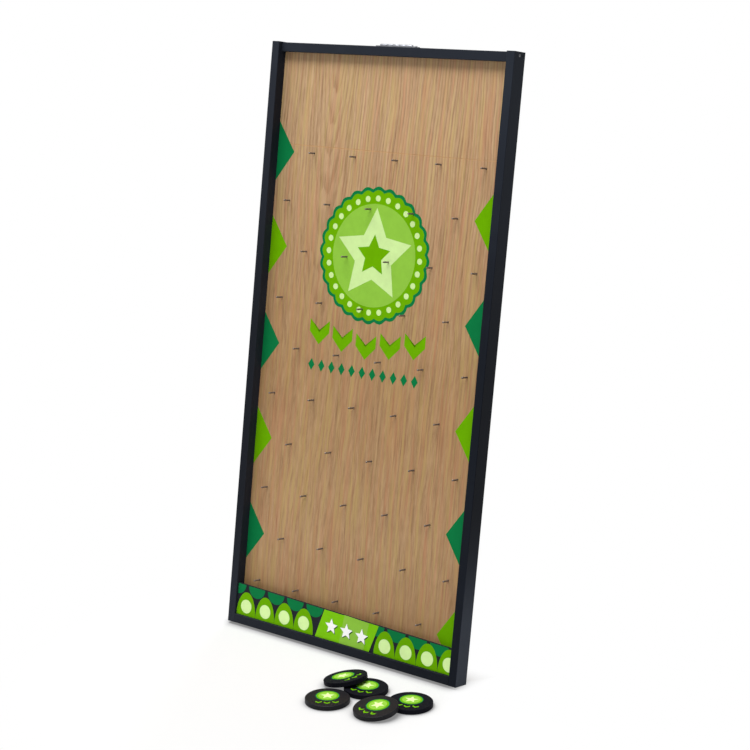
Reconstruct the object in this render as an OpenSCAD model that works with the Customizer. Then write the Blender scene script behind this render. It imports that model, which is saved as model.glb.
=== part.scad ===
// Prize drop game: a framed peg board that leans back on a hinged easel leg, with five playing chips.
// Board pieces are drawn upright, x to the right, y from the frame's front to its back, z along the
// stiles, and then leaned back about the rear bottom edge, which is the origin.

/* [Frame] */
// Overall width of the frame
frame_w = 610; // [500:1:900]
// Length of the stiles, along the slope of the board
frame_h = 1255; // [1100:1:1700]
// Thickness of the frame bars, seen from the front
bar_w = 19; // [16:0.5:24]
// Depth of the frame bars, front to back
bar_d = 38; // [34:0.5:50]
// Chamfer along the edges of the bars
bar_edge = 0.8; // [0.4:0.1:2]
// Distance of the top rail's front behind the stile fronts
top_rail_set_back = 11; // [0:0.5:12]
// Distance of the top rail's top below the stile tops
top_rail_drop = 1; // [0:0.5:6]
// Lean of the board from the upright, in degrees
lean = 8; // [4:0.5:9]

/* [Board] */
// Thickness of the board
board_t = 9; // [8:0.5:10]
// Distance of the board's face behind the frame's front
board_set_back = 23.5; // [21:0.5:25]
// Width of the ledge that the board's edges sit in
rabbet_w = 8; // [5:0.5:9]
// Height of the half-lap where the two boards meet
lap_h = 12; // [6:0.5:13]
// Distance from the top peg row to the seam between the boards
seam_above_pegs = 15; // [15:0.5:40]
// Open width of the seam on the board's face
seam_gap = 0.4; // [0.2:0.1:1]

/* [Pegs] */
// Diameter of a peg
peg_d = 3.6; // [3:0.1:6]
// Length of a peg in front of the board
peg_out = 19; // [12:0.5:22]
// Depth of a peg in the board
peg_in = 6; // [4:0.5:7]
// Number of peg rows
peg_rows = 10; // [6:1:11]
// Number of pegs in a row
row_pegs = 5; // [3:1:5]
// Distance between the pegs of a row
peg_pitch = 108.5; // [90:0.5:111]
// Distance between the rows
row_pitch = 103; // [80:0.2:106]
// Sideways shift from one row to the next
row_shift = 57; // [40:0.5:70]
// Height of the lowest row on the board
low_row_z = 101; // [90:0.5:120]
// Distance of the pegs' middle to the right of the board's middle
pegs_right = 3; // [0:0.5:8]

/* [Bins] */
// Thickness of the front panel
panel_t = 6; // [4:0.5:8]
// Distance of the panel's face behind the frame's front
panel_set_back = 5; // [2:0.5:7]
// Height of the panel at its left end
panel_h_left = 69; // [54:0.5:69]
// Height of the panel at its right end
panel_h_right = 55.5; // [54:0.5:69]
// Thickness of the dividers between the bins
divider_t = 6; // [3:0.5:10]
// Height of the dividers
divider_h = 45; // [20:0.5:52]

/* [Hinge] */
// Width of the hinge
hinge_w = 80; // [60:1:86]
// Distance of the hinge's middle to the left of the frame's middle
hinge_left = 6; // [0:0.5:20]
// Width of a hinge leaf from the pin's axis
leaf_l = 17; // [15:0.5:18]
// Thickness of a hinge leaf
leaf_t = 2.2; // [1.6:0.1:2.8]
// Diameter of the hinge knuckles
knuckle_d = 7; // [6.4:0.1:9]
// Diameter of the hinge pin
pin_d = 4; // [3:0.1:4.4]
// Number of knuckles
knuckles = 5; // [3:2:7]

/* [Leg] */
// Width of the leg
leg_w = 89; // [88:1:130]
// Thickness of the leg
leg_t = 18; // [18:0.5:24]
// Angle between the leg and the frame when it stands, in degrees
leg_open = 14; // [12:0.5:15]
// Gap between the folded leg and the frame
leg_gap = 0.5; // [0.3:0.1:2]
// Thickness of the rubber foot
foot_t = 4; // [2:0.5:8]

/* [Stay] */
// Distance of the stay's pivot below the hinge axis
stay_top = 300; // [220:1:340]
// Distance of the stay's stud below the hinge axis
stay_low = 800; // [700:1:900]
// Width of the stay arm
arm_w = 18; // [17:0.5:24]
// Thickness of the stay arm
arm_t = 3; // [2:0.1:4]
// Diameter of the pivot rivet and of the stud
stay_pin_d = 6; // [4:0.1:7]
// Side play of the stud in the arm's slot
slot_play = 1.5; // [1.3:0.1:2]
// Thickness of the heads on the rivet and the stud
stay_head_t = 1.8; // [1:0.1:3]
// Thickness of the bracket
bracket_t = 2.5; // [2:0.1:4]
// Length of the bracket along the board
bracket_l = 44; // [40:1:70]
// Width of the bracket's plate on the board
bracket_w = 28; // [24:1:40]

/* [Chips] */
// Diameter of a chip
chip_d = 89; // [70:1:90]
// Thickness of a chip
chip_t = 10; // [6:0.5:11]
// Chamfer around a chip
chip_edge = 1; // [0.4:0.1:2]
// Distance of chip 2 to the right of the board's middle
chip_2_x = 166; // [80:1:240]
// Distance of chip 2 in front of the frame's rear edge
chip_2_y = 149; // [120:1:200]
// Gap between chip 2 and chip 3
chip_3_gap = 2.8; // [2:0.2:30]
// Gap between chip 2 and chip 5
chip_5_gap = 23; // [20:0.5:60]
// Distance between the middles of chip 2 and chip 1, which leans on it
chip_1_off = 51; // [50:1:70]
// Distance between the middles of chip 5 and chip 4, which leans on it
chip_4_off = 77; // [70:1:84]

/* [Fasteners] */
// Shank diameter of the frame screws
frame_screw_d = 4; // [3:0.1:5]
// Length of the frame screws
frame_screw_l = 45; // [30:1:60]
// Shank diameter of the board, panel, hinge and bracket screws
small_screw_d = 3; // [2.5:0.1:3.4]
// Length that a small screw bites into the wood
small_screw_bite = 10; // [6:0.5:11]
// Length that a bracket screw bites into the board
bracket_screw_bite = 6; // [4:0.5:7]
// Diameter of the dowels
dowel_d = 6; // [5:0.1:6.4]
// Length of the dowels
dowel_l = 30; // [24:1:34]
// Distance of the first dowel behind the frame's front
dowel_front = 7; // [5:0.5:8]
// Distance between the dowels
dowel_pitch = 10; // [8:0.5:11]
// Distance of the first frame screw behind the top rail's front
frame_screw_front = 7; // [5:0.5:8]
// Distance between the frame screws
frame_screw_pitch = 11; // [9:0.5:12]
// Distance of the frame screws below the top rail's top
frame_screw_down = 6.5; // [4.5:0.1:7]
// Distance of the end screws from the ends of the boards
board_screw_end = 30; // [20:1:45]
// Distance of the end screws from the ends of the rails
rail_screw_end = 80; // [50:1:100]
// Distance of the end screws from the ends of the panel
panel_screw_end = 46; // [20:1:60]
// Distance of the screws from the ends of the hinge
hinge_screw_end = 11; // [8:0.5:14]
// Distance of the screws from the edges of the bracket
bracket_screw_edge = 9; // [7:0.5:10]

/* [Hidden] */
// Radial clearance of pins, pegs and screws in their holes
pin_clear = 0.05;
// Clearance between faces that slide or come to rest on each other
face_clear = 0.3;
// Clearance of pieces that are let in between others
fit_clear = 0.2;
// Play around a chip that is held above the top row of pegs
drop_play = 12;
// Overshoot of cutting shapes
over = 1;
$fn = 48;

inner_w = frame_w - 2 * bar_w;
rail_top = frame_h - top_rail_drop;
board_w = inner_w + 2 * rabbet_w;
board_low_z = bar_w - rabbet_w;
board_top_z = rail_top - bar_w + rabbet_w;
board_back = board_set_back + board_t;
bin_back = panel_set_back + panel_t;

// Places of the pegs: the lowest row sits to the left and the rows alternate.
// A low frame loses the rows that leave no room for a chip above them.
function row_mid(row) = pegs_right + (row % 2 == 0 ? -1 : 1) * row_shift / 2;
function peg_x(row, i) = row_mid(row) + (i - (row_pegs - 1) / 2) * peg_pitch;
function peg_z(row) = low_row_z + row * row_pitch;
highest_peg_z = rail_top - bar_w - chip_d - drop_play;
rows = [for (row = [0:peg_rows - 1]) if (peg_z(row) <= highest_peg_z) row];
seam_z = peg_z(len(rows) - 1) + seam_above_pegs;

// Hinge axis and the leg, in the upright board's frame
axis_z = rail_top + knuckle_d / 2;
axis_h = axis_z * cos(lean);
leg_tilt = leg_open - lean;
leg_back = leg_gap + leg_t;
leg_top = -knuckle_d / 2;
// Distance along the leg from the hinge axis to height h above the floor, at depth u in the leg
function leg_v(u, h) = (h - axis_h - u * sin(leg_tilt)) / cos(leg_tilt);
knuckle_l = hinge_w / knuckles;

// Stay: pivot on the board, stud on the leg, both behind the hinge axis by half the leg
stay_u = leg_gap + leg_t / 2;
stud_y = stay_u * cos(leg_open) + stay_low * sin(leg_open);
stud_z = stay_u * sin(leg_open) - stay_low * cos(leg_open);
stay_reach = norm([stud_y - stay_u, stud_z + stay_top]);
stay_open = atan2(stud_y - stay_u, -stud_z - stay_top);
stay_shut = stay_low - stay_top;
slot_r = stay_pin_d / 2 + slot_play;
slot_near = stay_shut - face_clear + slot_play;
slot_far = stay_reach + face_clear - slot_play;
arm_x = leg_w / 2 + stay_head_t + 2 * face_clear;
bracket_x = arm_x + arm_t + face_clear;
head_d = 2 * stay_pin_d;

// Places of the fasteners
function spread(n, low, high) = [for (k = [0:n - 1]) low + k * (high - low) / (n - 1)];
function spread_mid(n, half) = spread(n, -half, half);
frame_screw_y = [for (k = [0:1]) top_rail_set_back + frame_screw_front + k * frame_screw_pitch];
frame_screw_z = rail_top - frame_screw_down;
dowel_y = [for (k = [0:1]) dowel_front + k * dowel_pitch];
panel_screw_x = spread_mid(4, inner_w / 2 - panel_screw_end);
rail_screw_x = spread_mid(4, inner_w / 2 - rail_screw_end);
peg_board_screw_z = spread(5, board_low_z + board_screw_end, seam_z - lap_h - board_screw_end);
upper_board_screw_z = spread(2, seam_z + board_screw_end, board_top_z - board_screw_end);
board_screw_x = inner_w / 2 + rabbet_w / 2;
hinge_screw_x = spread_mid(3, hinge_w / 2 - hinge_screw_end);
leaf_screw_y = knuckle_d / 2 + (leaf_l - knuckle_d / 2) / 2;
bracket_screw_x = bracket_x + bracket_w - bracket_screw_edge;
bracket_screw_z = spread_mid(2, bracket_l / 2 - bracket_screw_edge);
small_head_d = 2 * small_screw_d;
frame_head_d = 2 * frame_screw_d;
stud_bite = 2 * small_screw_bite;

// Places of the chips on the floor: three lie flat and two lean on a neighbour
function beside(spot, off, angle) = spot + off * [cos(angle), sin(angle)];
chip_1_angle = 180;
chip_3_angle = 252.4;
chip_4_angle = 247;
chip_5_angle = -1.4;
chip_2_spot = [chip_2_x, -chip_2_y];
chip_3_spot = beside(chip_2_spot, chip_d + chip_3_gap, chip_3_angle);
chip_5_spot = beside(chip_2_spot, chip_d + chip_5_gap, chip_5_angle);

// Moves the upright board to its lean, with the rear bottom edge at the origin
module leaned() {
  rotate([-lean, 0, 0]) translate([0, -bar_d, 0]) children();
}

// Places what is drawn about the hinge axis, on the frame
module at_hinge() {
  leaned() translate([-hinge_left, bar_d, axis_z]) children();
}

// Places what is drawn on the folded leg, about the hinge axis, where the leg stands
module on_leg() {
  at_hinge() rotate([leg_open, 0, 0]) children();
}

// Places what is drawn about the stay's pivot
module at_stay() {
  at_hinge() translate([0, stay_u, -stay_top]) children();
}

module bar_section(w, d) {
  e = bar_edge;
  polygon([[e, 0], [w - e, 0], [w, e], [w, d - e], [w - e, d], [e, d], [0, d - e], [0, e]]);
}

// A bar across the frame, from the outline of its end in y and z
module cross_bar(length) {
  translate([-length / 2, 0, 0]) rotate([90, 0, 90]) linear_extrude(length) children();
}

// Countersunk screw along -z, its head flush with z = 0
module screw(d, head, length) {
  head_h = (head - d) / 2;
  slot = d / 4;
  difference() {
    union() {
      translate([0, 0, -head_h]) cylinder(h = head_h, d1 = d, d2 = head);
      translate([0, 0, -length + d]) cylinder(h = length - d - head_h, d = d);
      translate([0, 0, -length]) cylinder(h = d, d1 = d / 4, d2 = d);
    }
    for (a = [0, 90]) rotate([0, 0, a]) translate([-d / 2, -slot / 2, -head_h * 0.6])
      cube([d, slot, head_h]);
  }
}

module screw_hole(d, head, length) {
  head_h = (head - d) / 2;
  translate([0, 0, -head_h]) cylinder(h = head_h, d1 = d + 2 * pin_clear, d2 = head + 2 * pin_clear);
  translate([0, 0, -length - pin_clear]) cylinder(h = length, d = d + 2 * pin_clear);
  cylinder(h = over, d = head + 2 * pin_clear);
}

module at_frame_screws() {
  for (side = [0, 1], y = frame_screw_y)
    mirror([side, 0, 0]) translate([frame_w / 2, y, frame_screw_z]) rotate([0, 90, 0]) children();
}

module at_dowels() {
  for (side = [0, 1], y = dowel_y)
    mirror([side, 0, 0]) translate([inner_w / 2, y, bar_w / 2]) rotate([0, 90, 0]) children();
}

module dowel_holes() {
  at_dowels() translate([0, 0, -dowel_l * 2 / 3 - fit_clear])
    cylinder(h = dowel_l + 2 * fit_clear, d = dowel_d + 2 * pin_clear);
}

// Screws that hold the boards in their ledges, driven from the back
module at_board_screws() {
  for (side = [-1, 1], z = concat(peg_board_screw_z, upper_board_screw_z))
    translate([side * board_screw_x, board_back, z]) rotate([-90, 0, 0]) children();
  for (x = rail_screw_x, z = [bar_w - rabbet_w / 2, rail_top - bar_w + rabbet_w / 2])
    translate([x, board_back, z]) rotate([-90, 0, 0]) children();
}

module board_screw_holes() {
  at_board_screws() screw_hole(small_screw_d, small_head_d, board_t + small_screw_bite);
}

// Screws up through the bottom rail into the panel's lower edge
module at_panel_screws() {
  for (x = panel_screw_x) translate([x, panel_set_back + panel_t / 2, 0]) rotate([180, 0, 0]) children();
}

module panel_screw_holes() {
  at_panel_screws() screw_hole(small_screw_d, small_head_d, bar_w + small_screw_bite * 2);
}

module at_leaf_screws(y) {
  for (x = hinge_screw_x) translate([x, y, leg_top + leaf_t]) children();
}

module leaf_screw_holes(y) {
  at_leaf_screws(y) screw_hole(small_screw_d, small_head_d, leaf_t + small_screw_bite);
}

module at_bracket_screws() {
  for (z = bracket_screw_z)
    translate([bracket_screw_x, board_back - bar_d + bracket_t, z - stay_top])
      rotate([-90, 0, 0]) children();
}

module bracket_screw_holes() {
  at_bracket_screws() screw_hole(small_screw_d, small_head_d, bracket_t + bracket_screw_bite);
}

module stile_blank() {
  difference() {
    translate([inner_w / 2, 0, 0]) linear_extrude(frame_h) bar_section(bar_w, bar_d);
    translate([inner_w / 2 - over, board_set_back, board_low_z])
      cube([rabbet_w + over, bar_d, board_top_z - board_low_z]);
  }
}

module right_stile() {
  color("#23262b") leaned() difference() {
    stile_blank();
    at_frame_screws() screw_hole(frame_screw_d, frame_head_d, frame_screw_l);
    dowel_holes();
    board_screw_holes();
  }
}

module left_stile() {
  color("#23262b") leaned() difference() {
    mirror([1, 0, 0]) stile_blank();
    at_frame_screws() screw_hole(frame_screw_d, frame_head_d, frame_screw_l);
    dowel_holes();
    board_screw_holes();
  }
}

module top_rail() {
  depth = bar_d - top_rail_set_back;
  color("#2b2e34") difference() {
    leaned() difference() {
      cross_bar(inner_w) translate([top_rail_set_back, rail_top - bar_w]) bar_section(depth, bar_w);
      translate([-frame_w / 2, board_set_back, rail_top - bar_w - over])
        cube([frame_w, bar_d, rabbet_w + over]);
      at_frame_screws() screw_hole(frame_screw_d, frame_head_d, frame_screw_l);
      board_screw_holes();
    }
    at_hinge() leaf_screw_holes(-leaf_screw_y);
  }
}

module bottom_rail() {
  color("#23262b") leaned() difference() {
    cross_bar(inner_w) bar_section(bar_d, bar_w);
    translate([-frame_w / 2, board_set_back, board_low_z]) cube([frame_w, bar_d, bar_w]);
    dowel_holes();
    board_screw_holes();
    panel_screw_holes();
  }
}

module rail_dowels() {
  color("tan") leaned() at_dowels() translate([0, 0, -dowel_l * 2 / 3]) cylinder(h = dowel_l, d = dowel_d);
}

module frame_screws() {
  color("dimgray") leaned() at_frame_screws() screw(frame_screw_d, frame_head_d, frame_screw_l);
}

// Slab of board between two heights, from depth y0 to y1 behind the board's face
module board_slab(z0, z1, y0, y1) {
  w = board_w - 2 * fit_clear;
  translate([-w / 2, board_set_back + y0, z0]) cube([w, y1 - y0, z1 - z0]);
}

module upper_board() {
  color("#c8a17e") difference() {
    leaned() difference() {
      union() {
        board_slab(seam_z + seam_gap, board_top_z, 0, board_t);
        board_slab(seam_z - lap_h, seam_z + seam_gap + over, board_t / 2, board_t);
      }
      board_screw_holes();
    }
    at_hinge() bracket_screw_holes();
  }
}

module peg_board() {
  color("#b98f68") difference() {
    leaned() difference() {
      union() {
        board_slab(board_low_z, seam_z, 0, board_t / 2);
        board_slab(board_low_z, seam_z - lap_h, 0, board_t);
      }
      for (row = rows, i = [0:row_pegs - 1])
        translate([peg_x(row, i), board_set_back - over, peg_z(row)]) rotate([-90, 0, 0])
          cylinder(h = peg_in + over, d = peg_d + 2 * pin_clear);
      board_screw_holes();
    }
    at_hinge() bracket_screw_holes();
  }
}

module peg() {
  r = peg_d / 2;
  tip = r / 3;
  rotate([90, 0, 0]) rotate_extrude()
    polygon([[0, -peg_in], [r, -peg_in], [r, peg_out - tip], [r - tip, peg_out], [0, peg_out]]);
}

module pegs() {
  color("#4a4e55") leaned() for (row = rows, i = [0:row_pegs - 1])
    translate([peg_x(row, i), board_set_back, peg_z(row)]) peg();
}

module board_screws() {
  color("dimgray") leaned() at_board_screws() screw(small_screw_d, small_head_d, board_t + small_screw_bite);
}

module bin_panel() {
  half = inner_w / 2 - fit_clear;
  outline = [[-half, 0], [half, 0], [half, panel_h_right], [-half, panel_h_left]];
  color("#1c1e22") leaned() difference() {
    translate([0, bin_back, bar_w]) rotate([90, 0, 0]) linear_extrude(panel_t) polygon(outline);
    panel_screw_holes();
  }
}

module panel_screws() {
  color("dimgray") leaned() at_panel_screws()
    screw(small_screw_d, small_head_d, bar_w + small_screw_bite * 2);
}

// One divider under each peg of the lowest row but the first, which stands too near the stile for a chip
module bin_dividers() {
  color("#b98f68") leaned() for (i = [1:row_pegs - 1])
    translate([peg_x(0, i) - divider_t / 2, bin_back, bar_w])
      cube([divider_t, board_set_back - bin_back, divider_h]);
}

// Hinge leaf on the -y side of the pin's axis, with every second knuckle from the given first one
module leaf(first) {
  union() {
    difference() {
      translate([-hinge_w / 2, -leaf_l, leg_top]) cube([hinge_w, leaf_l, leaf_t]);
      for (k = [1 - first:2:knuckles - 1])
        translate([k * knuckle_l - hinge_w / 2 - face_clear / 2, -knuckle_d / 2 - face_clear, leg_top - over])
          cube([knuckle_l + face_clear, knuckle_d, knuckle_d]);
      rotate([0, 90, 0]) cylinder(h = hinge_w + over, d = knuckle_d - over, center = true);
      leaf_screw_holes(-leaf_screw_y);
    }
    for (k = [first:2:knuckles - 1])
      translate([k * knuckle_l - hinge_w / 2 + face_clear / 2, 0, 0]) rotate([0, 90, 0]) difference() {
        cylinder(h = knuckle_l - face_clear, d = knuckle_d);
        translate([0, 0, -over]) cylinder(h = knuckle_l + 2 * over, d = pin_d + 2 * pin_clear);
      }
  }
}

module hinge_frame_leaf() {
  color("silver") at_hinge() leaf(0);
}

module hinge_leg_leaf() {
  color("silver") on_leg() mirror([0, 1, 0]) leaf(1);
}

module hinge_pin() {
  color("gray") at_hinge() rotate([0, 90, 0]) cylinder(h = hinge_w, d = pin_d, center = true);
}

module hinge_frame_screws() {
  color("gray") at_hinge() at_leaf_screws(-leaf_screw_y)
    screw(small_screw_d, small_head_d, leaf_t + small_screw_bite);
}

module hinge_leg_screws() {
  color("gray") on_leg() at_leaf_screws(leaf_screw_y)
    screw(small_screw_d, small_head_d, leaf_t + small_screw_bite);
}

// Slice of the leg between two heights above the floor, where the upper one may be the leg's top
module leg_slice(width, low, high) {
  translate([-width / 2, 0, 0]) rotate([90, 0, 90]) linear_extrude(width)
    polygon([[leg_gap, low[0]], [leg_back, low[1]], [leg_back, high[1]], [leg_gap, high[0]]]);
}

module easel_leg() {
  color("#23262b") on_leg() difference() {
    leg_slice(leg_w, [leg_v(leg_gap, foot_t), leg_v(leg_back, foot_t)], [leg_top, leg_top]);
    leaf_screw_holes(leaf_screw_y);
    stud_hole();
  }
}

module leg_foot() {
  color("black") on_leg() leg_slice(leg_w, [leg_v(leg_gap, 0), leg_v(leg_back, 0)],
    [leg_v(leg_gap, foot_t), leg_v(leg_back, foot_t)]);
}

// Round plate on the stay's axis, from x0 outwards
module disc(x0, t, d) {
  translate([x0, 0, 0]) rotate([0, 90, 0]) cylinder(h = t, d = d);
}

module stud_hole() {
  translate([0, stay_u, -stay_low])
    disc(leg_w / 2 - stud_bite - pin_clear, stud_bite + over, stay_pin_d + 2 * pin_clear);
}

module stay_stud() {
  shank = stud_bite + arm_x + arm_t + face_clear - leg_w / 2;
  color("silver") on_leg() translate([0, stay_u, -stay_low]) {
    disc(leg_w / 2 - stud_bite, shank + stay_head_t, stay_pin_d);
    disc(leg_w / 2, stay_head_t + face_clear, head_d);
    disc(arm_x + arm_t + face_clear, stay_head_t, head_d);
  }
}

module stay_arm() {
  end = slot_far + arm_w / 2;
  color("silver") at_stay() rotate([stay_open, 0, 0]) difference() {
    union() {
      disc(arm_x, arm_t, arm_w);
      translate([arm_x, -arm_w / 2, -end]) cube([arm_t, arm_w, end]);
      translate([0, 0, -end]) disc(arm_x, arm_t, arm_w);
    }
    disc(arm_x - over, arm_t + 2 * over, stay_pin_d + 2 * pin_clear);
    for (s = [slot_near, slot_far]) translate([0, 0, -s]) disc(arm_x - over, arm_t + 2 * over, 2 * slot_r);
    translate([arm_x - over, -slot_r, -slot_far]) cube([arm_t + 2 * over, 2 * slot_r, slot_far - slot_near]);
  }
}

module stay_bracket() {
  plate_y = board_back - bar_d;
  ear_h = stay_u - plate_y;
  color("silver") difference() {
    at_hinge() union() {
      translate([bracket_x, plate_y, -stay_top - bracket_l / 2]) cube([bracket_w, bracket_t, bracket_l]);
      translate([bracket_x, plate_y, -stay_top - arm_w / 2]) cube([bracket_t, ear_h, arm_w]);
      translate([0, stay_u, -stay_top]) disc(bracket_x, bracket_t, arm_w);
    }
    at_stay() disc(bracket_x - over, bracket_t + 2 * over, stay_pin_d + 2 * pin_clear);
    at_hinge() bracket_screw_holes();
  }
}

module bracket_screws() {
  color("gray") at_hinge() at_bracket_screws()
    screw(small_screw_d, small_head_d, bracket_t + bracket_screw_bite);
}

module stay_rivet() {
  low = arm_x - face_clear - stay_head_t + face_clear / 2;
  high = bracket_x + bracket_t;
  color("gray") at_stay() {
    disc(low, high - low, stay_pin_d);
    disc(low, stay_head_t, head_d);
    disc(high, stay_head_t, head_d);
  }
}

module chip() {
  r = chip_d / 2;
  e = chip_edge;
  outline = [[0, 0], [r - e, 0], [r, e], [r, chip_t - e], [r - e, chip_t], [0, chip_t]];
  rotate_extrude($fn = 96) polygon(outline);
}

module flat_chip(spot) {
  color("#17191c") translate([spot[0], spot[1], 0]) chip();
}

// A chip whose far edge is on the floor and whose near edge lies on the chip at the given spot.
// off is its distance from that chip and angle the direction in degrees.
module leaning_chip(spot, off, angle) {
  place = beside(spot, off, angle);
  tilt = asin((chip_t + face_clear) / off);
  lift = (chip_d / 2 - chip_edge) * sin(tilt);
  color("#17191c") translate([place[0], place[1], lift]) rotate([0, 0, angle]) rotate([0, tilt, 0]) chip();
}

module chip_1() {
  leaning_chip(chip_2_spot, chip_1_off, chip_1_angle);
}

module chip_2() {
  flat_chip(chip_2_spot);
}

module chip_3() {
  flat_chip(chip_3_spot);
}

module chip_4() {
  leaning_chip(chip_5_spot, chip_4_off, chip_4_angle);
}

module chip_5() {
  flat_chip(chip_5_spot);
}

left_stile();
right_stile();
top_rail();
bottom_rail();
rail_dowels();
frame_screws();
upper_board();
peg_board();
pegs();
board_screws();
bin_panel();
panel_screws();
bin_dividers();
hinge_frame_leaf();
hinge_leg_leaf();
hinge_pin();
hinge_frame_screws();
hinge_leg_screws();
easel_leg();
leg_foot();
stay_bracket();
bracket_screws();
stay_arm();
stay_rivet();
stay_stud();
chip_1();
chip_2();
chip_3();
chip_4();
chip_5();
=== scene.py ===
# Looks of a prize drop game: a leaning peg board, its vinyl prints, the easel leg and five chips.
import math
import bmesh
import bpy
import numpy as np
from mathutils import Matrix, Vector


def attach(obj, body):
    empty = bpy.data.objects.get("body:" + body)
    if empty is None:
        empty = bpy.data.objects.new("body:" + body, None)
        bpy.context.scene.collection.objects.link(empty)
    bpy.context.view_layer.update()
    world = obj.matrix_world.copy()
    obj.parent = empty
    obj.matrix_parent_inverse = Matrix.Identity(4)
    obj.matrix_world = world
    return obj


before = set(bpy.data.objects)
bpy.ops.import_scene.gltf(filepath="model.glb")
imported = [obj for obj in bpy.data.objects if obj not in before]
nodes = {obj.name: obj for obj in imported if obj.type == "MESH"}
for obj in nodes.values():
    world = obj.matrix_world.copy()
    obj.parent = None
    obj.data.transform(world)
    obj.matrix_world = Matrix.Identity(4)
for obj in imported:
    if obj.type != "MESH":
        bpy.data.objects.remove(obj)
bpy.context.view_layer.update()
scene = bpy.context.scene
print("frame loaded,", len(nodes), "nodes")

# Metres, in the board's own frame: x to the right, depth from the frame's front, z along the stiles
board = {
    "lean": math.radians(8),   # back from the upright, about the rear bottom edge
    "barDepth": .038,          # frame bars, front to back
    "barWidth": .019,          # frame bars, seen from the front
    "halfWidth": .305,         # half of the frame
    "faceDepth": .0235,        # face of the board
    "panelDepth": .005,        # face of the bin panel
    "seam": 1.043,             # where the upper board meets the peg board
}
inside = board["halfWidth"] - board["barWidth"]
cosLean, sinLean = math.cos(board["lean"]), math.sin(board["lean"])


def onBoard(flat, depth):
    # a place on a plane along the board, leaned back about the rear bottom edge
    back = depth - board["barDepth"]
    x, z = flat[..., 0], flat[..., 1]
    return np.stack([x, back * cosLean + z * sinLean, z * cosLean - back * sinLean], -1)


def linear(red, green, blue):
    # a colour as seen on a screen, 0 to 255, to the shader's linear light
    seen = np.array([red, green, blue]) / 255
    light = np.where(seen <= .04045, seen / 12.92, ((seen + .055) / 1.055) ** 2.4)
    return (*light.tolist(), 1)


class Wire:
    # one socket of a material; sums and products of wires add Math nodes
    def __init__(self, tree, socket=None):
        self.tree = tree
        self.socket = socket

    # a node of any kind: its settings first, then the values or links of its sockets
    def add(self, kind, settings=None, sockets=None, out=0):
        node = self.tree.nodes.new("ShaderNode" + kind)
        for key, value in (settings or {}).items():
            setattr(node, key, value)
        for key, value in (sockets or {}).items():
            if isinstance(value, Wire):
                self.tree.links.new(value.socket, node.inputs[key])
            else:
                node.inputs[key].default_value = value
        return Wire(self.tree, node.outputs[out] if node.outputs else None)

    def maths(self, operation, *values):
        return self.add("Math", {"operation": operation}, dict(enumerate(values)))

    def __add__(self, other):
        return self.maths("ADD", self, other)

    def __radd__(self, other):
        return self.maths("ADD", other, self)

    def __sub__(self, other):
        return self.maths("SUBTRACT", self, other)

    def __rsub__(self, other):
        return self.maths("SUBTRACT", other, self)

    def __mul__(self, other):
        return self.maths("MULTIPLY", self, other)

    def __rmul__(self, other):
        return self.maths("MULTIPLY", other, self)

    def __truediv__(self, other):
        return self.maths("DIVIDE", self, other)

    def __rtruediv__(self, other):
        return self.maths("DIVIDE", other, self)

    def __pow__(self, other):
        return self.maths("POWER", self, other)

    def __rpow__(self, other):
        return self.maths("POWER", other, self)

    def __abs__(self):
        return self.maths("ABSOLUTE", self)

    # x, y and z of a vector
    def split(self):
        parts = self.add("SeparateXYZ", None, {0: self}).socket.node.outputs
        return [Wire(self.tree, part) for part in parts]

    # 0 below low, 1 above high, straight between
    def rise(self, low, high):
        return self.add("MapRange", None, {"Value": self, "From Min": low, "From Max": high})

    # smooth step between the same ends
    def ease(self, low, high):
        return self.add("MapRange", {"interpolation_type": "SMOOTHSTEP"},
                        {"Value": self, "From Min": low, "From Max": high})


def newPaint(name):
    paint = bpy.data.materials.new(name)
    paint.use_nodes = True
    paint.node_tree.nodes.clear()
    return paint, Wire(paint.node_tree)


def closePaint(wire, sockets):
    shader = wire.add("BsdfPrincipled", None, sockets)
    wire.add("OutputMaterial", None, {"Surface": shader})


def objectPlace(wire, turn=0.0):
    # object coordinates, turned about x so that z runs along the leaning piece
    place = wire.add("TexCoord", out="Object")
    return wire.add("Mapping", None,
                    {"Vector": place, "Location": (0, board["barDepth"], 0), "Rotation": (turn, 0, 0)})


def cloud(wire, place, cells, detail, rough, shift=(0, 0, 0)):
    # soft noise, from 0 to 1, with its cells per metre along x, y and z
    stretched = wire.add("Mapping", None, {"Vector": place, "Scale": cells, "Location": shift})
    return wire.add("TexNoise", None, {"Vector": stretched, "Scale": 1, "Detail": detail, "Roughness": rough})


def blend(wire, factor, first, second, kind="MIX"):
    return wire.add("Mix", {"data_type": "RGBA", "blend_type": kind}, {0: factor, 6: first, 7: second}, 2)


def bump(wire, height, strength, distance):
    return wire.add("Bump", None, {"Strength": strength, "Distance": distance, "Height": height}, "Normal")


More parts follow.
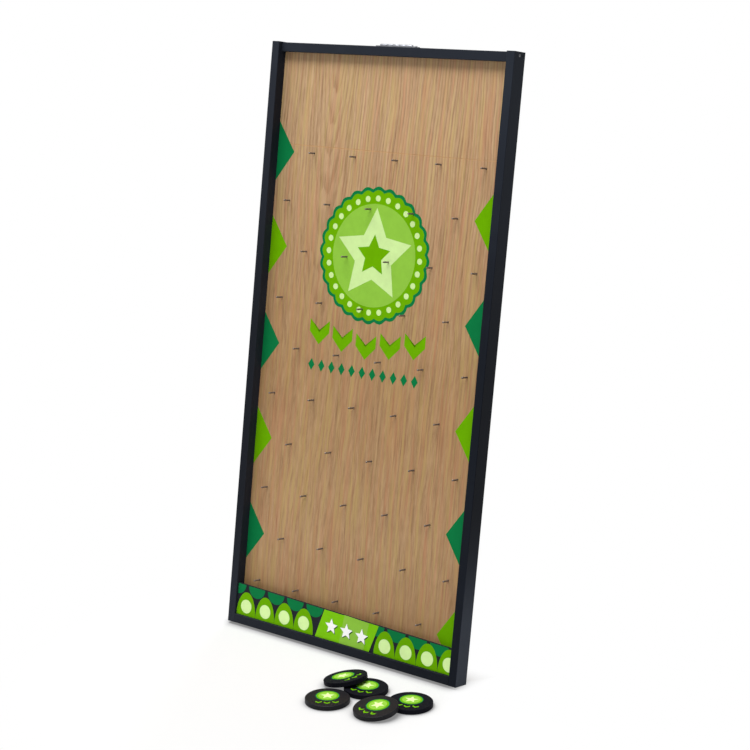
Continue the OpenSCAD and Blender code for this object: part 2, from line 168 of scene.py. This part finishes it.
oak = {
    "light": linear(201, 167, 131),
    "dark": linear(134, 101, 66),
    "pink": linear(188, 134, 100),
    "straw": linear(190, 165, 107),
    "pore": linear(112, 80, 54),
    "foot": (.805, .755, .655, 1),       # painted shade: the veneer is multiplied darker towards the foot by these parts
    "panelShade": linear(128, 90, 44),      # and is darkest just above the bin panel: painted shade
    "seamLight": linear(224, 168, 112),      # painted light beside the seam, over the shade in its gap
    "backLight": linear(206, 178, 142),
    "backDark": linear(178, 146, 108),
    "heart": -.15,                       # x of the middle of the cathedral figure
    "ring": .0072,                       # width of a growth ring
    "pith": .135,                        # depth of the pith under the face at the foot of the board
    "slope": -.090,                      # what it gains a metre higher up; below 0 the arches close at the foot
    "sway": .066, "wave": .026,          # metres by which the lines bend aside
    "pithSway": .04,                     # and by which the pith wanders
    "figured": (.66, 1.02),              # z where the figure begins, and where it is full
    "shadeStarts": (1.12, .60),               # z from which that painted shade begins, and where it is full
    "pales": (.50, .15),                 # z between which it loses a part of that again
    "palePart": .38,
    "panelShadeReach": (.21, .09),                 # z below which that painted shade reaches
    "panelShadePart": .30,
    "seamLightReach": (.0018, .0008),        # distance from the seam
    "seamLightFade": (-.10, .25),            # x between which that painted light gets fainter
    "veneer": (.0295, .0305),            # depth where the veneer ends and the plain back begins
    "roughness": .46,
    "gloss": .25,
}
# Cells per metre of the marks in the veneer, along x, depth and z
oakCells = {
    "sway": (4.0, 2, 1.3), "wave": (11, 4, 2.8), "ripple": (26, 4, 9), "fine": (60, 40, 6),
    "fibre": (430, 90, 36), "streak": (110, 10, 2.4), "dash": (150, 10, 17), "blush": (110, 8, 5),
    "straw": (130, 8, 5), "pore": (1100, 200, 26), "line": (460, 60, 9),
}
# Strengths low on the board, and what is added to them where the figure is full
oakStrengths = {
    "bend": (.45, .25), "ripple": (.006, -.002), "streak": (.29, .07), "dash": (.28, -.16),
    "late": (.06, .24), "soft": (1.05, -.15),
}


def oakPaint(name, heartShift, seed):
    # growth rings as the distance from a sloping pith, cut by the board's face; they fade down the board,
    # where soft streaks, fibres and pores along z take over
    paint, wire = newPaint(name)
    place = objectPlace(wire, board["lean"])
    x, depth, z = place.split()
    figure = z.rise(*oak["figured"])

    def strength(mark):
        low, more = oakStrengths[mark]
        return low + figure * more

    sway = cloud(wire, place, oakCells["sway"], 2, .5, (seed, 0, 0)) - .5
    wave = cloud(wire, place, oakCells["wave"], 2, .5, (0, seed, 2)) - .5
    ripple = cloud(wire, place, oakCells["ripple"], 3, .6, (seed, 6, 2)) - .5
    bends = (sway * oak["sway"] + wave * oak["wave"]) * strength("bend")
    bentX = x + bends + ripple * strength("ripple")
    bent = wire.add("CombineXYZ", None, {0: bentX, 1: depth, 2: z})
    aside = bentX - (oak["heart"] + heartShift)
    below = oak["pith"] + z * oak["slope"] + sway * oak["pithSway"]
    radius = (aside * aside + below * below) ** .5
    fine = cloud(wire, bent, oakCells["fine"], 3, .6, (seed, 1, 0))
    rings = radius / oak["ring"] + fine * 1.2
    phase = rings.maths("FRACT", rings)
    late = phase.ease(.30, .86) - phase.ease(.90, 1.0)
    fibre = cloud(wire, bent, oakCells["fibre"], 3, .65, (0, 2, seed))
    streak = cloud(wire, bent, oakCells["streak"], 3, .6, (seed, 3, 0))
    dash = cloud(wire, bent, oakCells["dash"], 3, .6, (2, 3, seed))
    blush = cloud(wire, bent, oakCells["blush"], 3, .6, (0, seed, 4))
    straw = cloud(wire, bent, oakCells["straw"], 3, .6, (seed, 0, 7))
    soft = streak.rise(.32, .68) * strength("streak") + dash.rise(.32, .68) * strength("dash")
    marks = late * strength("late") + soft * strength("soft")
    tone = marks + fibre.rise(.36, .66) * .26 + figure * .035
    colour = blend(wire, tone, oak["light"], oak["dark"])
    colour = blend(wire, blush.rise(.47, .66) * .58, colour, oak["pink"])
    colour = blend(wire, straw.rise(.47, .66) * .58, colour, oak["straw"])
    # painted shade: darker down the board, a little less so at the very foot
    lowShade = z.rise(*oak["shadeStarts"]) - z.rise(*oak["pales"]) * oak["palePart"]
    colour = blend(wire, lowShade, colour, oak["foot"], "MULTIPLY")
    # painted shade just above the bin panel
    colour = blend(wire, z.rise(*oak["panelShadeReach"]) * oak["panelShadePart"], colour, oak["panelShade"])
    # painted light beside the seam, lightening its shadowed line
    seamLight = abs(z - board["seam"]).rise(*oak["seamLightReach"]) * (.34 - x.ease(*oak["seamLightFade"]) * .13)
    colour = blend(wire, seamLight, colour, oak["seamLight"])
    pore = cloud(wire, bent, oakCells["pore"], 2, .6, (seed, 5, 1)).rise(.58, .70) * (.35 + late * .65)
    line = cloud(wire, bent, oakCells["line"], 2, .6, (5, seed, 1)).rise(.56, .70)
    colour = blend(wire, pore * .30 + line * .34, colour, oak["pore"])
    plain = blend(wire, streak.rise(.25, .75) * .7 + fibre * .25, oak["backLight"], oak["backDark"])
    colour = blend(wire, depth.rise(*oak["veneer"]), colour, plain)
    relief = fibre * .4 - pore * .9
    closePaint(wire, {
        "Base Color": colour,
        "Roughness": oak["roughness"] + fibre * .08 + pore * .2,
        "Normal": bump(wire, relief, .2, .0004),
        "Specular IOR Level": oak["gloss"],
    })
    return paint


charcoal = {
    "paint": linear(32, 36, 44),
    "panel": linear(27, 29, 36),
    # lighter tone that worn patches take, and that the painted light on the right stile takes
    "wornAndLit": linear(51, 56, 65),
    "deep": (.10, .14, .21, 1),          # part of the tone that is left where the painted shade is full
    "innerEdge": (-.2870, -.2862),       # x where the left stile's front turns into its inner face
    "outerEdge": (.3040, .3048),         # and the right stile's front into its outer face
    "railTop": (.030, .022),             # z of the bottom rail's upper edge
    "upright": (160, 160, 5),            # grain, in cells per metre
    "level": (5, 160, 160),
    "skin": (420, 420, 420),
    "patch": (9, 9, 9),
    "roughness": .52,
    "gloss": .09,
    "dullGloss": .05,
}


def shadeLeft(x, z):
    # painted shade: the middle of the left stile's front is darker between its ends, and so is its inner face, most
    # at the top
    inner = x.rise(*charcoal["innerEdge"])
    front = (z.ease(.0, .30) - z.ease(.62, 1.16)) * .71
    return front * (1 - inner) + (z.ease(.92, 1.06) * .36 + .07) * inner


def shadeRight(x, z):
    # painted shade: the right stile's front up to its middle, and more of its outer face above the foot
    outer = x.rise(*charcoal["outerEdge"])
    front = .57 - z.ease(.62, 1.16) * .57
    side = z.ease(.10, .38) * .93 - z.ease(.52, 1.20) * .66
    return front * (1 - outer) + side * outer


def litRight(x, z):
    # painted light: the foot of that outer face and the top of its front are made lighter
    outer = x.rise(*charcoal["outerEdge"])
    return outer * z.ease(.32, .10) + (1 - outer) * z.ease(.95, 1.22) * .22


def shadeAcross(x, z):
    # painted shade on the bottom rail, more so to the right
    return z.rise(*charcoal["railTop"]) * x.rise(-.45, .18) * .71


def charcoalPaint(name, turn, grain, base=charcoal["paint"], deep=None, paintedLight=None, gloss=charcoal["gloss"]):
    # satin paint over wood: faint grain along the bar, roller texture and rubbed patches, with painted light and
    # painted shade where they are passed in
    paint, wire = newPaint(name)
    place = objectPlace(wire, turn)
    x, z = place.split()[::2]
    lines = cloud(wire, place, grain, 3, .6)
    skin = cloud(wire, place, charcoal["skin"], 2, .5, (3, 1, 2))
    patch = cloud(wire, place, charcoal["patch"], 3, .6, (1, 4, 2))
    wearAndLight = patch.rise(.52, .78) * .22 + lines.rise(.55, .8) * .16
    # painted light, added to the worn tone where it is passed in
    if paintedLight:
        wearAndLight = wearAndLight + paintedLight(x, z)
    colour = blend(wire, wearAndLight, base, charcoal["wornAndLit"])
    # painted shade, multiplied in where deep is given
    if deep:
        colour = blend(wire, deep(x, z), colour, charcoal["deep"], "MULTIPLY")
    closePaint(wire, {
        "Base Color": colour,
        "Roughness": charcoal["roughness"] + (patch - .5) * .16 + (skin - .5) * .1,
        "Normal": bump(wire, skin * .5 + lines * .8, .22, .0004),
        "Specular IOR Level": gloss,
    })
    return paint


def metalPaint(name, colour, dull, rough, brush, stain=.3, metallic=1.0):
    # plated steel: brushed lines, cloudy tarnish and a soft gloss
    paint, wire = newPaint(name)
    place = objectPlace(wire)
    lines = cloud(wire, place, brush, 2, .6)
    tarnish = cloud(wire, place, (60, 60, 60), 3, .6, (2, 5, 1))
    closePaint(wire, {
        "Base Color": blend(wire, tarnish.rise(.4, .75) * stain + lines * .15, colour, dull),
        "Metallic": metallic,
        "Roughness": rough + (lines - .5) * .14 + tarnish * .1,
        "Normal": bump(wire, lines, .12, .0002),
    })
    return paint


heads = {
    "depth": .018, "z": 1.2475,          # middle of the front pair in the top rail
    "bare": (.0034, .0018),              # radius about it that shows bright bare steel
    "paint": linear(28, 31, 38),
    "steel": linear(128, 128, 130),
    "gloss": .05,
}


def paintedHeads(name):
    # screw heads under the frame's paint; bright bare steel shows in the recess of the front pair
    paint, wire = newPaint(name)
    place = objectPlace(wire, board["lean"])
    depth, z = place.split()[1:]
    scuff = cloud(wire, place, (500, 500, 500), 3, .6, (2, 1, 4))
    aside, above = depth - heads["depth"], z - heads["z"]
    radius = (aside * aside + above * above) ** .5
    bare = radius.rise(*heads["bare"]) * scuff.rise(.30, .45)
    closePaint(wire, {
        "Base Color": blend(wire, bare, heads["paint"], heads["steel"]),
        "Metallic": bare * .6,
        "Roughness": charcoal["roughness"] - bare * .1 + (scuff - .5) * .1,
        "Normal": bump(wire, scuff, .1, .0002),
        "Specular IOR Level": heads["gloss"],
    })
    return paint


def mouldedPaint(name, colour, lighter, rough, gloss=.15):
    # moulded black: fine pebble skin and faint scuffs
    paint, wire = newPaint(name)
    place = objectPlace(wire)
    skin = cloud(wire, place, (700, 700, 700), 2, .55)
    scuff = cloud(wire, place, (35, 120, 60), 4, .65, (4, 2, 7))
    closePaint(wire, {
        "Base Color": blend(wire, scuff.rise(.55, .8) * .35 + skin * .2, colour, lighter),
        "Roughness": rough + (skin - .5) * .18 + scuff.rise(.5, .8) * .1,
        "Normal": bump(wire, skin, .25, .0003),
        "Specular IOR Level": gloss,
    })
    return paint


vinyl = {"mottle": (60, 60, 60), "skin": (520, 520, 520), "deep": .86, "roughness": .46, "gloss": .03}


def vinylPaint(name, colour):
    # printed vinyl film: slight ink mottle and an even satin skin
    paint, wire = newPaint(name)
    place = objectPlace(wire, board["lean"])
    mottle = cloud(wire, place, vinyl["mottle"], 3, .6, (1, 2, 3))
    skin = cloud(wire, place, vinyl["skin"], 2, .5)
    deep = tuple(part * vinyl["deep"] for part in colour[:3]) + (1,)
    closePaint(wire, {
        "Base Color": blend(wire, mottle.rise(.3, .75) * .6, colour, deep),
        "Roughness": vinyl["roughness"] + (mottle - .5) * .12,
        "Normal": bump(wire, skin, .08, .0002),
        "Specular IOR Level": vinyl["gloss"],
    })
    return paint


upright, level = charcoal["upright"], charcoal["level"]
legLean = math.radians(-6)
paints = {
    "upperOak": oakPaint("upperOak", heartShift=0, seed=2),
    "pegOak": oakPaint("pegOak", heartShift=0, seed=2),
    "barLeft": charcoalPaint("barLeft", board["lean"], upright, deep=shadeLeft),
    "barRight": charcoalPaint("barRight", board["lean"], upright, deep=shadeRight, paintedLight=litRight,
                              gloss=charcoal["dullGloss"]),
    "barAcross": charcoalPaint("barAcross", board["lean"], level, deep=shadeAcross),
    "legPaint": charcoalPaint("legPaint", legLean, upright),
    "panelBlack": charcoalPaint("panelBlack", board["lean"], level, charcoal["panel"]),
    "bareWood": oakPaint("bareWood", heartShift=.12, seed=5),
    "pegSteel": metalPaint("pegSteel", linear(112, 102, 96), linear(80, 72, 68), rough=.30, brush=(300, 30, 300),
                           stain=.4, metallic=.35),
    "zincPlate": metalPaint("zincPlate", linear(142, 144, 150), linear(100, 101, 106), rough=.36,
                            brush=(40, 400, 400), stain=.6),
    "screwSteel": metalPaint("screwSteel", linear(170, 170, 172), linear(110, 108, 104), rough=.36,
                             brush=(300, 300, 300)),
    "screwHeads": paintedHeads("screwHeads"),
    "footRubber": mouldedPaint("footRubber", linear(24, 24, 25), linear(52, 52, 52), rough=.75),
    "chipBlack": mouldedPaint("chipBlack", linear(16, 16, 20), linear(30, 30, 36), rough=.5),
    # a darker copy of the chip black with less gloss: painted shade on chips 1, 2 and 5
    "chipShaded": mouldedPaint("chipShaded", linear(19, 19, 25), linear(31, 31, 39), rough=.5, gloss=.02),
}
inks = {
    "dark": vinylPaint("inkDark", linear(11, 116, 63)),
    "lime": vinylPaint("inkLime", linear(103, 167, 0)),
    "leaf": vinylPaint("inkLeaf", linear(139, 191, 65)),
    "pale": vinylPaint("inkPale", linear(216, 246, 168)),
    "cream": vinylPaint("inkCream", linear(201, 231, 155)),
    "bright": vinylPaint("inkBright", linear(122, 194, 18)),
    "white": vinylPaint("inkWhite", linear(250, 250, 250)),
    "shade": vinylPaint("inkShade", linear(20, 60, 30)),
}
print("paints and inks mixed")

# Screws that aren't named here are of bare steel
nodePaints = {
    "left_stile": "barLeft", "right_stile": "barRight", "top_rail": "barAcross",
    "bottom_rail": "barAcross", "easel_leg": "legPaint", "upper_board": "upperOak", "peg_board": "pegOak",
    "pegs": "pegSteel", "bin_panel": "panelBlack", "bin_dividers": "bareWood", "rail_dowels": "bareWood",
    "hinge_frame_leaf": "zincPlate", "hinge_leg_leaf": "zincPlate", "hinge_pin": "zincPlate",
    "stay_bracket": "zincPlate", "stay_arm": "zincPlate", "stay_rivet": "zincPlate", "stay_stud": "zincPlate",
    "leg_foot": "footRubber", "frame_screws": "screwHeads", "chip_1": "chipShaded", "chip_2": "chipShaded",
    "chip_3": "chipBlack", "chip_4": "chipBlack", "chip_5": "chipShaded",
}
bevelWidths = {
    "easel_leg": .0012, "leg_foot": .0006, "bin_panel": .0004, "stay_arm": .0003, "stay_bracket": .0003,
    "stay_rivet": .0003, "stay_stud": .0003, "hinge_frame_leaf": .0002, "hinge_leg_leaf": .0002,
    "hinge_pin": .0003, "bin_dividers": .0004,
}
bevelAngle = math.radians(35)
mergeDistance = 1e-6
for name, node in nodes.items():
    node.data.materials.clear()
    node.data.materials.append(paints[nodePaints.get(name, "screwSteel")])
    if name in bevelWidths:
        weld = node.modifiers.new("weld", "WELD")
        weld.merge_threshold = mergeDistance
        edge = node.modifiers.new("edge", "BEVEL")
        edge.width = bevelWidths[name]
        edge.segments = 2
        edge.limit_method = "ANGLE"
        edge.angle_limit = bevelAngle
print("finishes on the nodes")


def ellipse(x, z, wide, high=None, count=72):
    # points at equal angles round a middle
    turn = np.linspace(0, 2 * math.pi, count, endpoint=False)
    return np.stack([x + wide * np.cos(turn), z + (high or wide) * np.sin(turn)], -1)


def star(x, z, reach, waist=.46, tips=5):
    # the radius goes to and fro between tips and waists
    turn = math.pi / 2 + np.arange(2 * tips) * math.pi / tips
    radius = np.where(np.arange(2 * tips) % 2 == 0, reach, reach * waist)
    return np.stack([x + radius * np.cos(turn), z + radius * np.sin(turn)], -1)


def scallop(x, z, reach, lobes, dip, count=288):
    # a round outline whose radius dips between equal lobes
    turn = np.linspace(0, 2 * math.pi, count, endpoint=False)
    radius = reach - dip * (1 - np.abs(np.cos(turn * lobes / 2)))
    return np.stack([x + radius * np.cos(turn), z + radius * np.sin(turn)], -1)


def chevron(x, z, wide, high, thick):
    # two arms that meet in a point below
    return np.array([(x, z), (x + wide, z + high), (x + wide, z + high + thick), (x, z + thick),
                     (x - wide, z + high + thick), (x - wide, z + high)])


def addPiece(name, points, faces, paint, body):
    mesh = bpy.data.meshes.new(name)
    mesh.from_pydata(points.tolist(), [], faces.tolist())
    work = bmesh.new()
    work.from_mesh(mesh)
    bmesh.ops.remove_doubles(work, verts=work.verts, dist=mergeDistance)
    bmesh.ops.recalc_face_normals(work, faces=work.faces)
    work.to_mesh(mesh)
    work.free()
    mesh.materials.append(paint)
    piece = bpy.data.objects.new(name, mesh)
    scene.collection.objects.link(piece)
    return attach(piece, body)


filmThick = .00012


def film(name, shapes, surface, layer, ink, body="frame"):
    # a closed section goes round each outline: middle of the back, middle of the front, rim of the front, rim of
    # the back; the doubles in the middle are merged afterwards
    points, faces, start = [], [], 0
    across = np.array([0, 0, 1, 1])[None, :, None]
    height = np.array([layer, layer + 1, layer + 1, layer]) * filmThick
    for outline in shapes:
        count = len(outline)
        middle = outline.mean(0)
        flat = middle + across * (outline[:, None] - middle)
        points.append(surface(flat, np.broadcast_to(height, flat.shape[:2])).reshape(-1, 3))
        here, part = np.meshgrid(np.arange(count), np.arange(4), indexing="ij")
        ahead, after = (here + 1) % count, (part + 1) % 4
        corners = [here * 4 + part, ahead * 4 + part, ahead * 4 + after, here * 4 + after]
        faces.append(start + np.stack(corners, -1).reshape(-1, 4))
        start += count * 4
    return addPiece(name, np.concatenate(points), np.concatenate(faces), inks[ink], body)


def onFace(flat, height):
    return onBoard(flat, board["faceDepth"] - height)


def onPanel(flat, height):
    return onBoard(flat, board["panelDepth"] - height)


# Triangles along both sides, one for each second peg row
sides = {
    "leftApex": -.2406, "leftHalf": .062, "leftRows": (1.0273, .8279, .6204, .4140, .2036),
    "rightApex": .2323, "rightHalf": .077, "rightRows": (.9242, .7164, .5053, .2956, .0890),
    "floor": .0195,
}
triangles = {"dark": [], "lime": []}
for wall, apex, half, rows, first in ((-inside, sides["leftApex"], sides["leftHalf"], sides["leftRows"], 0),
                                      (inside, sides["rightApex"], sides["rightHalf"], sides["rightRows"], 1)):
    for k, z in enumerate(rows):
        low = max(z - half, sides["floor"])
        cut = apex + (wall - apex) * (z - low) / half
        corners = [(apex, z), (wall, z + half), (wall, low), (cut, low)]
        shape = np.array(corners if cut != wall else corners[:3])
        triangles[("dark", "lime")[(k + first) % 2]].append(shape)
for ink, shapes in triangles.items():
    film("sideTriangles_" + ink, shapes, onFace, 0, ink)

# Scalloped rosette with a ring of beads and a star, chevrons that fall from it and a row of diamonds
badge = {
    "x": -.0084, "z": .8311, "rim": .1415, "band": .1345, "lobes": 28, "dip": .006, "face": .106,
    "beads": 28, "bead": .0062, "beadRing": .1172, "star": .098, "waist": .50, "core": .044,
}
spot = (badge["x"], badge["z"])
film("badgeRim", [scallop(*spot, badge["rim"], badge["lobes"], badge["dip"])], onFace, 0, "dark")
film("badgeBand", [scallop(*spot, badge["band"], badge["lobes"], badge["dip"])], onFace, 1, "lime")
beadSpots = ellipse(*spot, badge["beadRing"], count=badge["beads"])
film("badgeBeads", [ellipse(x, z, badge["bead"], count=20) for x, z in beadSpots], onFace, 2, "cream")
film("badgeFace", [ellipse(*spot, badge["face"], count=128)], onFace, 2, "leaf")
film("badgeStar", [star(*spot, badge["star"], badge["waist"])], onFace, 3, "cream")
film("badgeCore", [star(*spot, badge["core"], badge["waist"])], onFace, 4, "lime")
fall = {"x": -.0094, "z": .632, "count": 5, "pitch": .062, "sag": .008, "wide": .026, "high": .026, "thick": .026}
fallSteps = range(-(fall["count"] // 2), fall["count"] // 2 + 1)
film("fallChevrons", [chevron(fall["x"] + k * fall["pitch"], fall["z"] - fall["sag"] * (fallSteps[-1] - abs(k)),
                              fall["wide"], fall["high"], fall["thick"]) for k in fallSteps], onFace, 0, "lime")
row = {"x": -.013, "z": .588, "count": 11, "pitch": .027, "wide": .0085, "high": .013}
rowSteps = range(-(row["count"] // 2), row["count"] // 2 + 1)
film("diamondRow", [ellipse(row["x"] + k * row["pitch"], row["z"], row["wide"], row["high"], 4) for k in rowSteps],
     onFace, 0, "dark")

# Bin panel: scallops that stand on the rail, half-discs that hang between them, dots, and a label with stars
panel = {
    "low": .0195, "left": .0875, "right": .0740, "edge": .2853,
    "first": -.259, "pitch": .054, "count": 11,
    "stand": .0268, "standHigh": .052, "hang": .0230, "dot": .0150, "dotLift": .0205,
    "label": (-.0537, .0904), "slant": .010,
    "stripePart": .45, "stripeShift": .03,          # stripe on the label, by the label's own corners
    "starParts": (.22, .5, .78), "starZ": .050, "starStep": .002, "star": .017, "starShade": .0016,
}


def panelTop(x):
    return panel["left"] + (panel["right"] - panel["left"]) * (x + inside) / (2 * inside)


def cutToPanel(outline):
    # points past the panel's edges are drawn back to them
    x = np.clip(outline[:, 0], -panel["edge"], panel["edge"])
    return np.stack([x, np.clip(outline[:, 1], panel["low"], panelTop(x))], -1)


low, high = panel["label"]
slant = panel["slant"]
spots = panel["first"] + np.arange(panel["count"]) * panel["pitch"]
between = spots - panel["pitch"] / 2
spots = spots[(spots < low) | (spots > high)]
film("panelScallops", [cutToPanel(ellipse(x, panel["low"], panel["stand"], panel["standHigh"])) for x in spots],
     onPanel, 1, "lime")
film("panelHangers", [cutToPanel(ellipse(x, panelTop(x), panel["hang"])) for x in between], onPanel, 0, "dark")
film("panelDots", [cutToPanel(ellipse(x, panel["low"] + panel["dotLift"], panel["dot"])) for x in spots],
     onPanel, 2, "pale")
label = np.array([(low - slant, panel["low"]), (high - slant, panel["low"]), (high + slant, panelTop(high)),
                  (low + slant, panelTop(low))])
film("panelLabel", [label], onPanel, 3, "bright")
stripe = label.copy()
stripe[:, 0] = label[:, 0] * panel["stripePart"] + panel["stripeShift"]
film("panelStripe", [stripe], onPanel, 4, "leaf")
starSpots = [(low + (high - low) * part, panel["starZ"] - panel["starStep"] * k)
             for k, part in enumerate(panel["starParts"])]
shadeShift = panel["starShade"]
film("labelShade", [star(x + shadeShift, z - shadeShift, panel["star"]) for x, z in starSpots], onPanel, 5, "shade")
film("labelStars", [star(x, z, panel["star"]) for x, z in starSpots], onPanel, 6, "white")

# A star badge and three chevrons on each chip, turned as the chip lies
chip = {
    "thick": .010, "rim": .0236, "badge": .0218, "face": .0180, "star": .0140, "lift": .0065,
    "marks": (-.0165, 0, .0165), "markZ": -.0325, "markCurve": .22,  # chevrons, in a bow under the badge
    "markWide": .0062, "markHigh": .0050, "markThick": .0046,
    "turns": {"chip_1": 84, "chip_2": 13, "chip_3": 37, "chip_4": -8, "chip_5": 21},
}


def chipSurface(name):
    # the chip's upper face: its middle from the box round its mesh, its normal along the least spread of the points
    mesh = nodes[name].data
    points = np.empty(len(mesh.vertices) * 3, np.float32)
    mesh.vertices.foreach_get("co", points)
    points = points.reshape(-1, 3).astype(float)
    middle = (points.min(0) + points.max(0)) / 2
    spread = np.linalg.svd(points - points.mean(0), full_matrices=False)[2]
    normal = spread[2] * np.sign(spread[2][2])
    turn = math.radians(chip["turns"][name])
    along = np.array([math.cos(turn), math.sin(turn), 0])
    along -= normal * (along @ normal)
    along /= np.linalg.norm(along)
    up = np.cross(normal, along)

    def surface(flat, height):
        return (middle + flat[..., :1] * along + flat[..., 1:] * up
                + (chip["thick"] / 2 + height[..., None]) * normal)
    return surface


chipMarks = [chevron(x, chip["markZ"] + abs(x) * chip["markCurve"], chip["markWide"], chip["markHigh"],
                     chip["markThick"]) for x in chip["marks"]]
for name in chip["turns"]:
    face = chipSurface(name)
    film(name + "_rim", [ellipse(0, chip["lift"], chip["rim"])], face, 0, "dark", name)
    film(name + "_badge", [ellipse(0, chip["lift"], chip["badge"])], face, 1, "lime", name)
    film(name + "_face", [ellipse(0, chip["lift"], chip["face"])], face, 2, "leaf", name)
    film(name + "_star", [star(0, chip["lift"], chip["star"])], face, 3, "pale", name)
    film(name + "_chevrons", chipMarks, face, 0, "lime", name)
print("prints laid on the board, the panel and the chips")

# Pale floor that fades to white, soft lamps and the camera
stage = {
    "size": 40.0, "drop": -.0003,            # floor, a hair below the pieces that stand on it
    "middle": (.02, -.17, 0),                # of the part that keeps its shade
    "near": .36, "far": .60,                 # where the shade fades to the white backdrop
    "behind": (-.02, .08),                   # and the same behind the board
    "beside": (.275, .332),                  # and to the right of it, but for the chips in front
    "chipsEnd": (-.10, -.045),
    "legFoot": (-.006, .316, 0), "legReach": (.04, .12),  # the leg keeps its shade where it stands
    "colour": (.67, .67, .67, 1),            # of the near floor
    "glow": .24,                             # white that the camera alone sees there
    "nook": .028,                            # reach of the shade where the floor meets the pieces
    "nookLimits": (.40, .95), "nookShade": (.14, .14, .15, 1),
    "air": .25,                              # light from all round
}


def seenDirectly(wire):
    # 1 where the backdrop itself is seen, straight on, in a gloss or through glass
    rays = [wire.add("LightPath", out=ray) for ray in ("Is Camera Ray", "Is Glossy Ray", "Is Transmission Ray")]
    return rays[0] + rays[1] + rays[2]


def distance(wire, place, spot):
    return wire.add("VectorMath", {"operation": "DISTANCE"}, {0: place, 1: spot}, "Value")


mesh = bpy.data.meshes.new("floor")
half, drop = stage["size"] / 2, stage["drop"]
mesh.from_pydata([(-half, -half, drop), (half, -half, drop), (half, half, drop), (-half, half, drop)],
                 [], [(0, 1, 2, 3)])
floor = bpy.data.objects.new("floor", mesh)
scene.collection.objects.link(floor)
floorPaint, wire = newPaint("floorPaint")
place = wire.add("TexCoord", out="Object")
across, back = place.split()[:2]
away = distance(wire, place, stage["middle"]).ease(stage["near"], stage["far"])
away = away.maths("MAXIMUM", away, back.ease(*stage["behind"]))
away = away.maths("MAXIMUM", away, across.ease(*stage["beside"]) * back.ease(*stage["chipsEnd"]))
nook = wire.add("AmbientOcclusion", {"samples": 16}, {"Distance": stage["nook"]}, "AO").rise(*stage["nookLimits"])
toLeg = distance(wire, place, stage["legFoot"]).ease(*stage["legReach"])
away = away.maths("MINIMUM", away, toLeg.maths("MAXIMUM", toLeg, nook))
white = (stage["glow"] + away * (1 - stage["glow"])) * seenDirectly(wire)
shade = blend(wire, nook, stage["nookShade"], stage["colour"])
matt = wire.add("BsdfDiffuse", None, {"Color": shade})
glow = wire.add("Emission", None, {"Color": (1, 1, 1, 1), "Strength": 1.0})
wire.add("OutputMaterial", None, {"Surface": wire.add("MixShader", None, {0: white, 1: matt, 2: glow})})
mesh.materials.append(floorPaint)

world = bpy.data.worlds.new("studio")
scene.world = world
world.use_nodes = True
world.node_tree.nodes.clear()
air = Wire(world.node_tree)
strength = air.add("MapRange", None, {"Value": seenDirectly(air), "To Min": stage["air"], "To Max": 1.0})
sky = air.add("Background", None, {"Color": (1, 1, 1, 1), "Strength": strength})
air.add("OutputWorld", None, {"Surface": sky})

lamps = {
    "key": {"at": (-.6, -2.15, 8.3), "to": (0, .1, .6), "size": (10.2, 2.6), "power": 1100},
    "side": {"at": (3.2, -.6, 1.6), "to": (0, .1, .6), "size": (1.6, 2.0), "power": 2},
    "rear": {"at": (-.8, 3.4, 2.6), "to": (0, .1, .6), "size": (2.4, 1.8), "power": 60},
}
for name, lamp in lamps.items():
    data = bpy.data.lights.new(name, "AREA")
    data.shape = "RECTANGLE"
    data.size, data.size_y = lamp["size"]
    data.energy = lamp["power"]
    light = bpy.data.objects.new(name, data)
    aim = Vector(lamp["to"]) - Vector(lamp["at"])
    light.location = lamp["at"]
    light.rotation_euler = aim.to_track_quat("-Z", "Y").to_euler()
    scene.collection.objects.link(light)

camera = {"at": (2.2288, -2.7953, 1.4429), "down": 13.3535, "turn": 37.633, "lens": 86.797, "sensor": 36}
data = bpy.data.cameras.new("camera")
data.lens = camera["lens"]
data.sensor_width = camera["sensor"]
eye = bpy.data.objects.new("camera", data)
eye.location = camera["at"]
eye.rotation_euler = (math.radians(90 - camera["down"]), 0, math.radians(camera["turn"]))
scene.collection.objects.link(eye)
scene.camera = eye
scene.view_settings.view_transform = "Standard"
print("stage, lamps and camera set")
